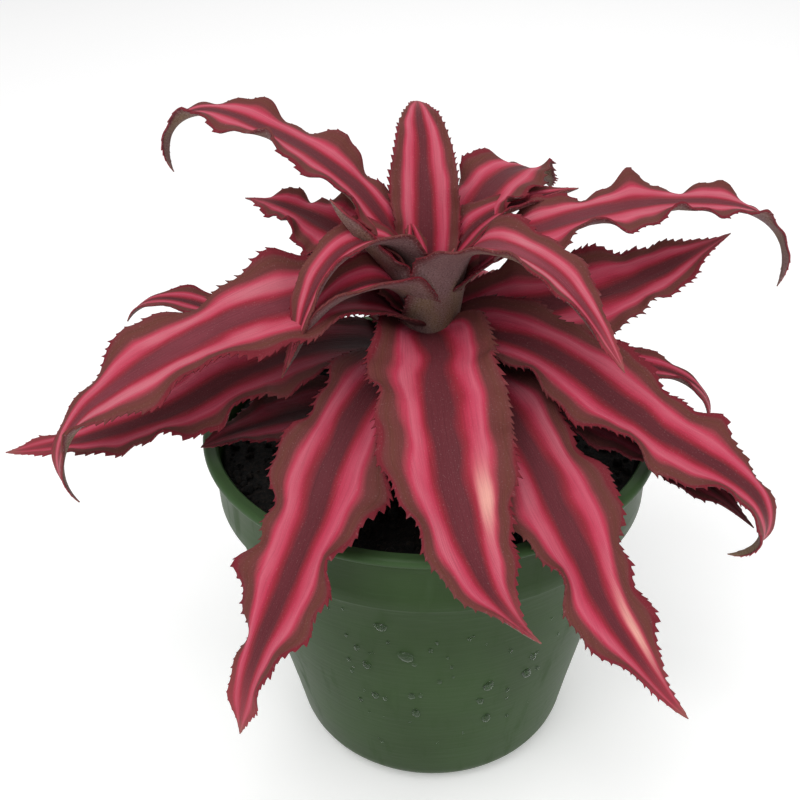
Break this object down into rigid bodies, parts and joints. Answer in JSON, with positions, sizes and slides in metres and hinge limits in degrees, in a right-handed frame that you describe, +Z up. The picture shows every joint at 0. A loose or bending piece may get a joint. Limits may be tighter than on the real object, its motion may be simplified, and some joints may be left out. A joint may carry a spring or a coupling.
{
  "type": "potted bromeliad",
  "caption": "Small pink-striped bromeliad: a rosette of wavy, toothed leaves on a short stem, planted in soil in a thin round tapered nursery pot with drainage holes.",
  "frame": {"origin": "centre of the pot's flat bottom, on the surface it stands on", "axes": "+Z up along the pot's axis; -Y is the front, where the broad front leaf hangs over the rim; +X to the right seen from the front"},
  "size_m": [0.1783, 0.1348, 0.1624],
  "materials": {
    "pot": "thin green nursery-pot plastic with a low sheen",
    "soil": null,
    "stem": "dull fibrous brown stem",
    "leaf": null
  },
  "bodies": {
    "root": {"pot": "pot", "soil": "soil", "stem": "stem", "leaf_heart_front": "leaf", "leaf_heart_rear": "leaf", "leaf_young_folded": "leaf", "leaf_young_upright": "leaf", "leaf_young_arching": "leaf", "leaf_young_low": "leaf", "leaf_young_right": "leaf", "leaf_rear_upright": "leaf", "leaf_rear_high": "leaf", "leaf_left_high": "leaf", "leaf_right_high": "leaf", "leaf_front": "leaf", "leaf_left": "leaf", "leaf_right": "leaf", "leaf_left_rear": "leaf", "leaf_right_rear": "leaf", "leaf_back_left": "leaf", "leaf_back_right": "leaf", "leaf_front_left": "leaf", "leaf_back": "leaf", "leaf_front_right": "leaf", "leaf_left_low": "leaf", "leaf_far_right": "leaf", "leaf_far_left": "leaf", "leaf_right_low": "leaf", "leaf_back_left_low": "leaf", "leaf_back_right_low": "leaf", "leaf_left_under": "leaf"}
  },
  "joints": []
}
